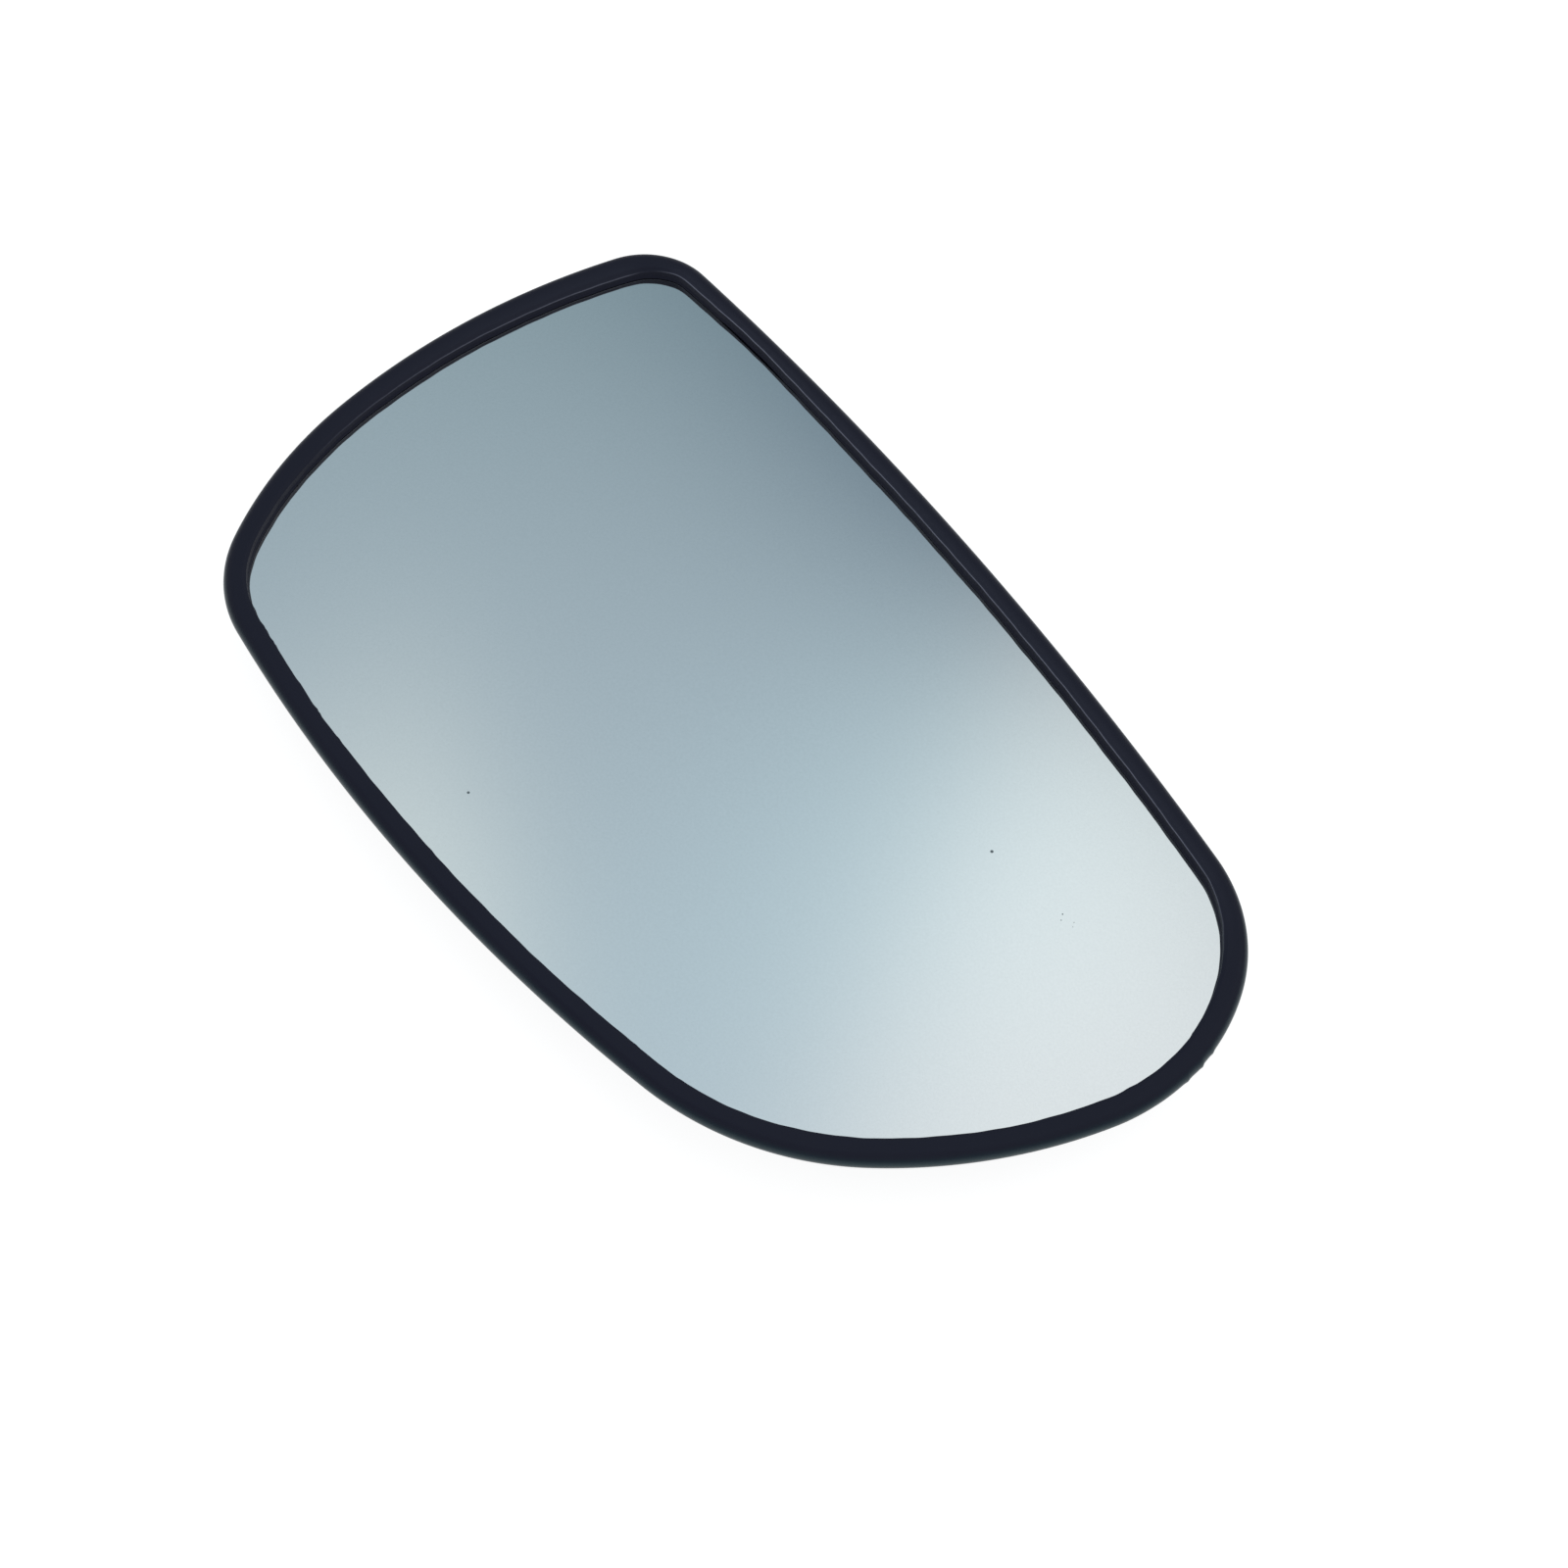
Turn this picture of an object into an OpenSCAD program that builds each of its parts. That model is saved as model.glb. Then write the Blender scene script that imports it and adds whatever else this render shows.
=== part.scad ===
/* [Overall size] */
// Length of the holder over its rim
holder_l = 193.5; // [175:0.5:215]
// Width of the holder over its rim
holder_w = 113.5; // [100:0.5:130]
// Radius of the convex crown of the glass
crown_r = 1400; // [1000:50:2200]

/* [Outline, upper side and wide end] */
// Lean of the upper side where it leaves the narrow end, in degrees
upper_lean = 8; // [5:0.5:11]
// Radius of the sharp corner between the upper side and the wide end
sharp_corner_r = 14; // [12:0.5:20]
// Turn of the sharp corner, in degrees
sharp_corner_turn = 72.5; // [70:0.5:75]
// Radius of the bowed wide end
wide_end_r = 137; // [128:1:155]
// Turn of the wide end, in degrees
wide_end_turn = 24; // [23:0.5:26.5]
// Radius of the soft half of the lower corner of the wide end
soft_corner_r = 78; // [68:1:95]
// Turn of the soft half of that corner, in degrees
soft_corner_turn = 24; // [21:0.5:27]
// Radius of the tight half of that corner
tight_corner_r = 24; // [19:1:35]
// Turn of the tight half of that corner, in degrees
tight_corner_turn = 48.5; // [46:0.5:52]

/* [Outline, lower side and narrow end] */
// Turn of the long lower side, in degrees
lower_side_turn = 20; // [17:0.5:24]
// Radius of the lower shoulder of the narrow end
lower_shoulder_r = 57; // [46:1:68]
// Turn of the lower shoulder, in degrees
lower_shoulder_turn = 40; // [37:0.5:42]
// Radius of the flat part of the narrow end
tip_flat_r = 93; // [80:1:103]
// Turn of the flat part of the narrow end, in degrees
tip_flat_turn = 24.5; // [21.5:0.5:27]
// Radius of the corner after the flat part
tip_corner_r = 39; // [31:1:43]
// Turn of that corner, in degrees
tip_corner_turn = 49; // [46:0.5:51]
// Radius of the upper shoulder of the narrow end
upper_shoulder_r = 30; // [24:1:37]
// Turn of the upper shoulder, in degrees
upper_shoulder_turn = 48.5; // [46:0.5:50.5]

/* [Glass] */
// Thickness of the glass
glass_t = 2; // [1.6:0.1:3]
// Width of glass that the lip of the rim covers
glass_lap = 0.6; // [0.3:0.1:1.2]
// Clearance between the edge of the glass and its groove
edge_gap = 0.3; // [0.1:0.05:0.6]
// Clearance between the face of the glass and the lip
lip_gap = 0.1; // [0.05:0.05:0.3]

/* [Adhesive pad] */
// Thickness of the foam pad
pad_t = 0.8; // [0.5:0.1:1.5]
// Distance from the edge of the glass to the edge of the pad
pad_inset = 2.5; // [1:0.5:8]

/* [Rim of the holder] */
// Height of the rim over the glass
rim_h = 2.2; // [1.9:0.1:4]
// Radius of the rounded outer edge of the rim
bead_r = 1.8; // [1.2:0.1:1.8]
// Width of the rim along the upper side, up to its inner top edge
upper_rim_w = 3.7; // [3.3:0.1:6]
// Width of the rim along the wide end
wide_rim_w = 4.6; // [3.3:0.1:6]
// Width of the rim where the lower side leaves the wide end
lower_rim_w = 3.4; // [3.3:0.1:6]
// Width of the rim round the narrow end
tip_rim_w = 4; // [3.3:0.1:6]
// Width of the bevel along the inner top edge
bevel_w = 0.7; // [0.4:0.1:1.2]
// Drop of that bevel
bevel_drop = 0.2; // [0.1:0.05:0.5]
// Run of the sloping inner wall from the top edge to the glass
wall_run = 0.85; // [0.5:0.05:1.3]
// Lean of the outer flank under the bead, in degrees
flank_lean = 35; // [30:1:40]

/* [Floor and skirt of the holder] */
// Thickness of the floor behind the pad
floor_t = 1.8; // [1.4:0.1:2]
// Drop of the skirt behind the back face of the floor
skirt_drop = 1.7; // [1:0.1:3]
// Thickness of the skirt at its foot
skirt_t = 1.8; // [1.6:0.1:3]

/* [Ribs] */
// Thickness of every rib
rib_t = 1.5; // [1:0.1:2.5]
// Number of radial ribs, spread evenly round the hub
rib_count = 12; // [8:4:16]
// Depth of the radial ribs where they leave the hub ring
rib_root_h = 6; // [3:0.5:8]
// Inner radius of the round stiffening rib
stiffener_r = 42; // [36:1:44]
// Depth of the round stiffening rib behind the floor
stiffener_h = 2.2; // [1:0.1:3]

/* [Hub ring] */
// Distance from the mouth of the hub ring to the back of the floor
hub_h = 12; // [11.5:0.5:16]
// Inner radius of the hub ring
ring_r = 19; // [17:0.5:21]
// Wall of the hub ring
ring_wall = 2; // [1.4:0.1:3]
// Radius of the fillet between the hub ring and the floor
ring_fillet = 1.5; // [0.5:0.25:2.5]

/* [Pivot socket] */
// Radius of the spherical seat for the pivot ball
pivot_r = 6.5; // [6.2:0.1:6.8]
// Depth of the centre of the ball behind the mouth of the pivot socket
pivot_depth = 4.2; // [3.9:0.1:4.5]
// Radius of the snap lip at the mouth of the pivot socket
pivot_lip_r = 6; // [5.8:0.1:6.2]
// Wall of the pivot socket round its seat
pivot_wall = 1.8; // [1.4:0.1:2.5]
// Width of the slots that part the fingers of the pivot socket
pivot_slot = 2; // [1.2:0.1:2.4]
// Setback of the mouth of the pivot socket from the mouth of the hub ring
pivot_setback = 1; // [0:0.25:1.25]

/* [Rod sockets] */
// Distance of each rod socket from the axis of the hub
rod_arm = 32; // [30:0.5:36]
// Radius of the spherical seat for the end of the rod
rod_r = 4.5; // [4.2:0.1:4.9]
// Depth of the centre of the ball behind the mouth of the rod socket
rod_depth = 3.8; // [3.4:0.1:4.2]
// Radius of the snap lip at the mouth of the rod socket
rod_lip_r = 4; // [3.7:0.1:4.2]
// Wall of the rod socket round its seat
rod_wall = 1.6; // [1.2:0.1:2.4]
// Width of the slots that part the fingers of the rod socket
rod_slot = 1.2; // [0.8:0.1:1.6]
// Setback of the mouth of the rod sockets from the mouth of the hub ring
rod_setback = 2; // [0:0.25:2.5]

/* [Guide forks] */
// Distance from the axis of the hub to the middle of each fork
fork_arm = 32; // [29:0.5:36]
// Gap between the two cheeks of a fork
fork_gap = 5; // [4.5:0.1:7]
// Length of a fork cheek along the arm
fork_l = 11; // [8:0.5:14]
// Setback of the forks from the mouth of the hub ring
fork_setback = 3; // [1:0.5:5]

/* [Hidden] */
// Longest gap allowed between an arc and its chords
chord_gap = 0.02;
// Depth to which one part of the moulding reaches into the next
bite = 0.2;
// Depth to which walls and ribs root in the floor
root = 0.6;
// Size of the chamfer that leads into each snap lip
lead_in = 0.5;
// Distance by which a cutter passes the faces that it cuts
past = 1;
// Steps of the rounded bead
bead_steps = 8;
// Steps of the curved edge of a rib
rib_steps = 6;
// Steps of the fillet at the root of the hub ring
fillet_steps = 6;
// Facets of the crown, of the round ribs and of the sockets, where they are shown as a mesh
crown_facets = 256;
ring_facets = 180;
socket_facets = 96;
// Directions of the rod sockets and of the guide forks round the axis of the hub
rod_angles = [0, -90];
fork_angles = [180, 90];
// Turn of the slots of a socket from its arm
slot_turn = 45;

// Heights, measured along the axis of the hub from the mouth of its ring
floor_back_z = hub_h;
floor_top_z = floor_back_z + floor_t;
pad_top_z = floor_top_z + pad_t;
front_z = pad_top_z + glass_t;
crown_z = front_z - crown_r;

// Heights of the rim section, measured from the face of the glass
seat_z = -(glass_t + pad_t);
back_z = seat_z - floor_t;
skirt_z = back_z - skirt_drop;
bead_z = rim_h - bead_r;
bead_end = [bead_r * (1 - cos(flank_lean)), bead_z - bead_r * sin(flank_lean)];
skirt_out = bead_end[0] + (bead_end[1] - skirt_z) * tan(flank_lean);
skirt_in = skirt_out + skirt_t;

// Outline of the rim: ten arcs, each tangent to the next, travelled anticlockwise
// The radii of the upper side and the lower side are the two that close the outline
UPPER = 0;
LOWER = 5;
free_turn = sharp_corner_turn + wide_end_turn + soft_corner_turn + tight_corner_turn + lower_side_turn
    + lower_shoulder_turn + tip_flat_turn + tip_corner_turn + upper_shoulder_turn;
turns = [360 - free_turn, sharp_corner_turn, wide_end_turn, soft_corner_turn, tight_corner_turn,
    lower_side_turn, lower_shoulder_turn, tip_flat_turn, tip_corner_turn, upper_shoulder_turn];
set_radii = [0, sharp_corner_r, wide_end_r, soft_corner_r, tight_corner_r,
    0, lower_shoulder_r, tip_flat_r, tip_corner_r, upper_shoulder_r];
arcs = [0 : len(turns) - 1];
heads = [for (i = 0, h = 180 - upper_lean; i < len(turns); h = h + turns[i], i = i + 1) h];

// Sum of a list of numbers or vectors
function total(list, i = 0) = i == len(list) - 1 ? list[i] : list[i] + total(list, i + 1);
// Travel along an arc of radius one that starts at heading h and turns by t
function travel(h, t) = [sin(h + t) - sin(h), cos(h) - cos(h + t)];
function cross2(a, b) = a[0] * b[1] - a[1] * b[0];

moves = [for (i = arcs) travel(heads[i], turns[i])];
open_end = total([for (i = arcs) set_radii[i] * moves[i]]);
spread = cross2(moves[UPPER], moves[LOWER]);
upper_r = -cross2(open_end, moves[LOWER]) / spread;
lower_r = -cross2(moves[UPPER], open_end) / spread;
radii = [for (i = arcs) i == UPPER ? upper_r : i == LOWER ? lower_r : set_radii[i]];
starts = [for (i = 0, p = [0, 0]; i < len(turns); p = p + radii[i] * moves[i], i = i + 1) p];

// Stations along the outline: arc number, share of the arc travelled, raw place, raw normal
function pieces(i) = ceil(turns[i] / (2 * acos(1 - chord_gap / radii[i])));
function station(i, s) = [i, s, starts[i] + radii[i] * travel(heads[i], s * turns[i]),
    [sin(heads[i] + s * turns[i]), -cos(heads[i] + s * turns[i])]];
stations = [for (i = arcs, k = [0 : pieces(i) - 1]) station(i, k / pieces(i))];
raw_x = [for (s = stations) s[2][0]];
raw_y = [for (s = stations) s[2][1]];
mid = [(max(raw_x) + min(raw_x)) / 2, (max(raw_y) + min(raw_y)) / 2];
fit = [holder_l / (max(raw_x) - min(raw_x)), holder_w / (max(raw_y) - min(raw_y))];
edge = [for (s = stations) [(s[2][0] - mid[0]) * fit[0], (s[2][1] - mid[1]) * fit[1]]];
outward = [for (s = stations) let (n = [s[3][0] / fit[0], s[3][1] / fit[1]]) n / norm(n)];

// Rim width at the start of each arc, and at each station by blending along the arc
corner_w = (wide_rim_w + lower_rim_w) / 2;
rim_widths = [upper_rim_w, upper_rim_w, wide_rim_w, wide_rim_w, corner_w,
    lower_rim_w, tip_rim_w, tip_rim_w, tip_rim_w, upper_rim_w, upper_rim_w];
function ease(t) = t * t * (3 - 2 * t);
widths = [for (s = stations) rim_widths[s[0]] + (rim_widths[s[0] + 1] - rim_widths[s[0]]) * ease(s[1])];

// Distances inward from the outermost edge, one for each station
function inset(d) = [for (w = widths) w + d];
glass_d = inset(wall_run - glass_lap);
pad_d = inset(wall_run - glass_lap + pad_inset);
groove_d = inset(wall_run - glass_lap - edge_gap);
floor_d = inset(wall_run - glass_lap - edge_gap - bite);
outline_steps = [0 : len(edge) - 1];
function outline(d) = [for (i = outline_steps) edge[i] - outward[i] * d[i]];

// Height of the face of the glass over a place in plan
function crown(p) = crown_z + sqrt(crown_r * crown_r - p * p);

// Section of the rim at a station of width w: distance inward, height from the face of the glass
function rim_section(w, groove) = concat(
    [for (k = [0 : bead_steps]) let (a = -flank_lean + (90 + flank_lean) * k / bead_steps)
        [bead_r * (1 - cos(a)), bead_z + bead_r * sin(a)]],
    [[w - bevel_w, rim_h], [w, rim_h - bevel_drop], [w + wall_run, lip_gap],
    [groove, lip_gap], [groove, seat_z - bite], [skirt_in, seat_z - bite],
    [skirt_in, skirt_z], [skirt_out, skirt_z]]);

// Slice of a ball concentric with the crown, between two depths behind the face of the glass
module crown_slice(from, to) {
    translate([0, 0, crown_z]) difference() {
        sphere(r = crown_r - from, $fn = crown_facets);
        sphere(r = crown_r - to, $fn = crown_facets);
    }
}

// Curved sheet: an outline cut through a slice of the crown
module crown_sheet(d, from, to) {
    intersection() {
        linear_extrude(height = front_z + rim_h) polygon(outline(d));
        crown_slice(from, to);
    }
}

// Rim, lip, groove and skirt: the section carried round the outline and lifted along the crown
module rim() {
    rings = [for (i = outline_steps) [for (q = rim_section(widths[i], groove_d[i]))
        let (p = edge[i] - outward[i] * q[0]) [p[0], p[1], crown(p) + q[1]]]];
    count = len(rings);
    size = len(rings[0]);
    polyhedron(
        points = [for (ring = rings) each ring],
        faces = [for (i = outline_steps, k = [0 : size - 1])
            let (a = i * size, b = ((i + 1) % count) * size, n = (k + 1) % size)
            each [[a + k, b + n, b + k], [a + k, a + n, b + n]]],
        convexity = 8);
}

// Distance from the axis of the hub to the line that a rib reaches, along direction a
reach_line = outline([for (w = widths) skirt_in - root]);
function cut(p, q, u) = let (e = q - p, s = cross2(u, e))
    s == 0 ? 0 : let (t = cross2(p, e) / s, v = cross2(p, u) / s) v >= 0 && v <= 1 ? t : 0;
function reach(a) = max([for (i = outline_steps)
    cut(reach_line[i], reach_line[(i + 1) % len(reach_line)], [cos(a), sin(a)])]);

// Radial rib: deep at the hub ring, shallow at the skirt, its top rooted in the curved floor
module radial_rib(a) {
    r0 = ring_r + ring_wall - bite;
    r1 = reach(a);
    tip_h = skirt_drop - bite;
    side = concat(
        [for (k = [0 : rib_steps]) let (r = r0 + (r1 - r0) * k / rib_steps)
            [r, crown([r, 0]) + back_z + root]],
        [for (k = [rib_steps : -1 : 0]) let (s = k / rib_steps, r = r0 + (r1 - r0) * s)
            [r, crown([r, 0]) + back_z - rib_root_h * (1 - s) * (1 - s) - tip_h * (1 - (1 - s) * (1 - s))]]);
    rotate([0, 0, a]) rotate([90, 0, 0])
        linear_extrude(height = rib_t, center = true) polygon(side);
}

// Round rib between the hub ring and the skirt
module stiffener() {
    intersection() {
        difference() {
            cylinder(r = stiffener_r + rib_t, h = front_z, $fn = ring_facets);
            translate([0, 0, -past]) cylinder(r = stiffener_r, h = front_z + 2 * past, $fn = ring_facets);
        }
        crown_slice(-back_z - root, -back_z + stiffener_h);
    }
}

// Hub ring with a fillet where it stands on the floor
module hub_ring() {
    top = floor_back_z + root;
    out = ring_r + ring_wall;
    rotate_extrude($fn = ring_facets) polygon(concat(
        [[ring_r, 0], [out, 0]],
        [for (k = [0 : fillet_steps]) let (a = 90 * k / fillet_steps)
            [out + ring_fillet * (1 - cos(a)), floor_back_z - ring_fillet + ring_fillet * sin(a)]],
        [[out + ring_fillet, top], [ring_r, top]]));
}

// Ball socket with a snap lip, standing from height z0 to the floor, parted into four fingers
// The fingers taper by half their wall towards the mouth, and the slots end half a seat radius
// behind the centre of the ball
module ball_socket(seat_r, depth, lip_r, wall, slot, z0) {
    top = floor_back_z + root;
    out = seat_r + wall;
    lead_r = lip_r + lead_in;
    mouth = min(out, lead_r + wall / 2);
    slot_l = 2 * (out + past);
    slot_h = depth + seat_r / 2 + past;
    $fn = socket_facets;
    difference() {
        rotate_extrude() polygon([[0, z0], [mouth, z0], [out, z0 + depth], [out, top], [0, top]]);
        translate([0, 0, z0 + depth]) sphere(r = seat_r);
        translate([0, 0, z0 - past]) cylinder(r = lip_r, h = depth + past);
        translate([0, 0, z0]) rotate_extrude()
            polygon([[0, -past], [lead_r, -past], [lead_r, 0], [lip_r, lead_in], [0, lead_in]]);
        for (a = [0, 90]) rotate([0, 0, a + slot_turn])
            translate([-slot_l / 2, -slot / 2, z0 - past]) cube([slot_l, slot, slot_h]);
    }
}

// Two cheeks that stop the holder from turning on its pivot
module guide_fork() {
    for (side = [0, 1]) mirror([0, side, 0])
        translate([fork_arm - fork_l / 2, fork_gap / 2, fork_setback])
            cube([fork_l, rib_t, floor_back_z - fork_setback + bite]);
}

module mirror_glass() {
    color([0.66, 0.73, 0.77]) crown_sheet(glass_d, 0, glass_t);
}

module adhesive_pad() {
    color([0.24, 0.25, 0.27]) crown_sheet(pad_d, glass_t, glass_t + pad_t);
}

module backing_plate() {
    color([0.12, 0.13, 0.16]) union() {
        rim();
        crown_sheet(floor_d, -seat_z, -back_z);
        for (i = [0 : rib_count - 1]) radial_rib(360 * i / rib_count + 180 / rib_count);
        stiffener();
        hub_ring();
        ball_socket(pivot_r, pivot_depth, pivot_lip_r, pivot_wall, pivot_slot, pivot_setback);
        for (a = rod_angles) rotate([0, 0, a]) translate([rod_arm, 0, 0])
            ball_socket(rod_r, rod_depth, rod_lip_r, rod_wall, rod_slot, rod_setback);
        for (a = fork_angles) rotate([0, 0, a]) guide_fork();
    }
}

mirror_glass();
adhesive_pad();
backing_plate();
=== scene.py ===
import math

import bpy
import numpy as np
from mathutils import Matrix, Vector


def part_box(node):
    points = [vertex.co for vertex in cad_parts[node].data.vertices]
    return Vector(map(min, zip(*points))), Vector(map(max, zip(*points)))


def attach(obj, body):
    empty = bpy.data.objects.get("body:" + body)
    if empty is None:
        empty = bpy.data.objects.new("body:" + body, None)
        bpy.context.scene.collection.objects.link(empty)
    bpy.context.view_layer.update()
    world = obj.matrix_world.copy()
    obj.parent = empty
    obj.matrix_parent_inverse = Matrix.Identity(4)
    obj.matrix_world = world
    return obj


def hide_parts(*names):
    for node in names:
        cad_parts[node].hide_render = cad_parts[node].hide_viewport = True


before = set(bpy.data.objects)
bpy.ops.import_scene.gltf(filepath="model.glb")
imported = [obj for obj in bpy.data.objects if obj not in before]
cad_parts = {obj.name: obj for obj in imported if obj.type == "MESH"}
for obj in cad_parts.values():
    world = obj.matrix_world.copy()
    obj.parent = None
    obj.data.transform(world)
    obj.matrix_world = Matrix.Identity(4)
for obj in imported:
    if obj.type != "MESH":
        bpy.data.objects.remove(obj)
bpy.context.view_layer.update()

# Moulded holder
# One moulding of black plastic: the rim whose lip overhangs the glass, a curved floor, ribs,
# and on its back the hub ring, ball sockets and forks that take the mirror's adjuster.

MM = 0.001
crown_r = 1400
hub_h = 12
floor_t = 1.8
pad_t = 0.8
glass_t = 2
seat_depth = glass_t + pad_t
back_depth = seat_depth + floor_t
face_z = hub_h + back_depth
crown_z = face_z - crown_r

upper_lean = 8
turns = np.array([9, 72.5, 24, 24, 48.5, 20, 40, 24.5, 49, 48.5])
corner_radii = np.array([0, 14, 137, 78, 24, 0, 57, 93, 39, 30])
UPPER_SIDE = 0
LOWER_SIDE = 5
rim_ends = np.array([3.8, 3.85, 4.98, 4.62, 4.1, 4.05, 4.0, 4.24, 4.13, 4.2, 3.8])
bevel_ends = np.array([0.2, 0.2, 0.8, 0.62, 0.3, 0.2, 0.2, 0.2, 0.2, 0.2, 0.2])
station_gap = 0.6
station_turn = 2


def travel(heading, turn):
    """Chord of an arc of radius one: it starts at a heading and turns by an angle, both in degrees.
    It is (sin(last) - sin(first), cos(first) - cos(last)) of its first and last heading."""
    first = np.radians(heading)
    last = np.radians(heading + turn)
    return np.stack([np.sin(last) - np.sin(first), np.cos(first) - np.cos(last)], -1)


def rim_outline():
    """Outline of the holder as ten tangent arcs, travelled anticlockwise, at stations along it.
    Two radii are free, and solve: sum of radius times chord = 0. Gives places, outward normals, the
    rim's width and its bevel's drop, which go from one arc's end to the next by s * s * (3 - 2 * s)."""
    heads = 180 - upper_lean + np.concatenate([[0], np.cumsum(turns)[:-1]])
    chords = travel(heads, turns)
    free = chords[[UPPER_SIDE, LOWER_SIDE]].T
    radii = corner_radii.astype(float)
    radii[[UPPER_SIDE, LOWER_SIDE]] = np.linalg.solve(free, -(corner_radii[:, None] * chords).sum(0))
    starts = np.cumsum(radii[:, None] * chords, 0) - radii[:, None] * chords
    by_gap = radii * np.radians(turns) / station_gap
    counts = np.ceil(np.maximum(by_gap, turns / station_turn)).astype(int)
    arc = np.repeat(np.arange(len(turns)), counts)
    share = np.concatenate([np.arange(n) / n for n in counts])
    turned = share * turns[arc]
    place = starts[arc] + radii[arc, None] * travel(heads[arc], turned)
    angle = np.radians(heads[arc] + turned)
    normal = np.stack([np.sin(angle), -np.cos(angle)], 1)

    low, high = (np.array(corner)[:2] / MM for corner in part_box("backing_plate"))
    scale = (high - low) / (place.max(0) - place.min(0))
    place = (place - (place.max(0) + place.min(0)) / 2) * scale + (low + high) / 2
    normal = normal / scale
    normal /= np.linalg.norm(normal, axis=1, keepdims=True)

    eased = share * share * (3 - 2 * share)
    width, drop = (ends[arc] + (ends[arc + 1] - ends[arc]) * eased for ends in (rim_ends, bevel_ends))
    return place, normal, width, drop


def crown(x, y, depth=0.0):
    """Height of the ball surface that lies a depth behind the face of the glass:
    z = middle + sqrt((radius - depth)2 - x2 - y2)."""
    return crown_z + np.sqrt((crown_r - depth) ** 2 - x * x - y * y)


def rounded_section(corners, radii, steps):
    """Closed sections with each corner replaced by a tangent arc, for all stations at once.
    The arc of radius r starts r / tan(half the corner's angle) before the corner. Its points are
    (sin((1 - s) * swing) * first + sin(s * swing) * last) / sin(swing) from its middle."""
    before = np.roll(corners, 1, 1) - corners
    after = np.roll(corners, -1, 1) - corners
    before /= np.linalg.norm(before, axis=2, keepdims=True)
    after /= np.linalg.norm(after, axis=2, keepdims=True)
    half = np.arccos(np.clip((before * after).sum(2), -1, 1)) / 2
    points = []
    for k, (radius, count) in enumerate(zip(radii, steps)):
        corner = corners[:, k]
        if radius == 0:
            points.append(corner)
            continue
        reach = (radius / np.tan(half[:, k]))[:, None]
        bisector = before[:, k] + after[:, k]
        bisector /= np.linalg.norm(bisector, axis=1, keepdims=True)
        middle = corner + bisector * (radius / np.sin(half[:, k]))[:, None]
        first = corner + before[:, k] * reach - middle
        last = corner + after[:, k] * reach - middle
        swing = (np.pi - 2 * half[:, k])[:, None]
        for s in np.linspace(0, 1, count):
            swung = np.sin((1 - s) * swing) * first + np.sin(s * swing) * last
            points.append(middle + swung / np.sin(swing))
    return np.stack(points, 1)


def signed_volume(points, faces):
    """Volume inside a closed skin, negative if its faces point inwards:
    the sum of det(a, b, c) / 6 over the fan of triangles of each face."""
    total = 0.0
    for size in sorted({len(face) for face in faces}):
        group = points[np.array([face for face in faces if len(face) == size])]
        for k in range(1, size - 1):
            total += np.einsum("ij,ij->i", group[:, 0], np.cross(group[:, k], group[:, k + 1])).sum() / 6
    return total


def skin(grid, around, ends):
    """Closed skin over a grid of points, each joined to the next in its row and its column.
    Columns always close on themselves. around closes the rows too; otherwise ends says how the
    first and last row end: in faces, or in points at their means."""
    rows, columns = grid.shape[:2]
    index = np.arange(rows * columns).reshape(rows, columns)
    nearer = index if around else index[:-1]
    farther = np.roll(index, -1, 0) if around else index[1:]
    quads = np.stack([nearer, farther, np.roll(farther, -1, 1), np.roll(nearer, -1, 1)], -1)
    points = grid.reshape(-1, 3)
    faces = quads.reshape(-1, 4).tolist()
    if ends == "faces":
        faces += [index[0].tolist(), index[-1][::-1].tolist()]
    if ends == "points":
        poles = [index.size, index.size + 1]
        points = np.vstack([points, grid[0].mean(0), grid[-1].mean(0)])
        for pole, row, step in ((poles[0], index[0], -1), (poles[1], index[-1], 1)):
            faces += np.stack([row, np.roll(row, -step), np.full(columns, pole)], -1).tolist()
    if signed_volume(points, faces) < 0:
        faces = [face[::-1] for face in faces]
    return points, faces


edge_steps = 3


def moulded_mesh(name, skins, material, edge_radius=0.0, smooth_below=35, marks=None):
    """One mesh object from closed skins in millimetres, smooth where faces meet at less than an angle.
    marks gives a share from 0 to 1 at every point under a name, for the material to read."""
    points = np.vstack([each[0] for each in skins])
    offsets = np.cumsum([0] + [len(each[0]) for each in skins])
    faces = [[v + offset for v in face] for (_, part), offset in zip(skins, offsets) for face in part]
    mesh = bpy.data.meshes.new(name)
    mesh.from_pydata((points * MM).tolist(), [], faces)
    mesh.polygons.foreach_set("use_smooth", np.ones(len(faces), bool))
    mesh.set_sharp_from_angle(angle=math.radians(smooth_below))
    for label, shares in (marks or {}).items():
        mesh.attributes.new(label, "FLOAT", "POINT").data.foreach_set("value", shares)
    mesh.materials.append(material)
    piece = bpy.data.objects.new(name, mesh)
    bpy.context.scene.collection.objects.link(piece)
    if edge_radius:
        bevel = piece.modifiers.new("rounded edges", "BEVEL")
        bevel.width = edge_radius * MM
        bevel.segments = edge_steps
        bevel.limit_method = "ANGLE"
        bevel.angle_limit = math.radians(smooth_below)
        bevel.harden_normals = True
    return piece


place, normal, rim_w, bevel_drop = rim_outline()
wall_run = 0.42
glass_lap = 0.4
edge_gap = 0.3
glass_inset = rim_w + wall_run - glass_lap

rim_h = 2.2
bead_r = 1.8
bevel_w = 0.7
knee_run = 0.1
knee_h = 0.6
knee_r = 0.3
lip_gap = 0.1
flank_lean = math.radians(35)
skirt_drop = 1.7
skirt_t = 1.8
skirt_depth = back_depth + skirt_drop
land_edge_r = 0.6
top_edge_r = 0.13
lip_edge_r = 0.05
skirt_edge_r = 0.4
root_r = 0.7
root_step = 0.005
overlap = 0.3

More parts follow.
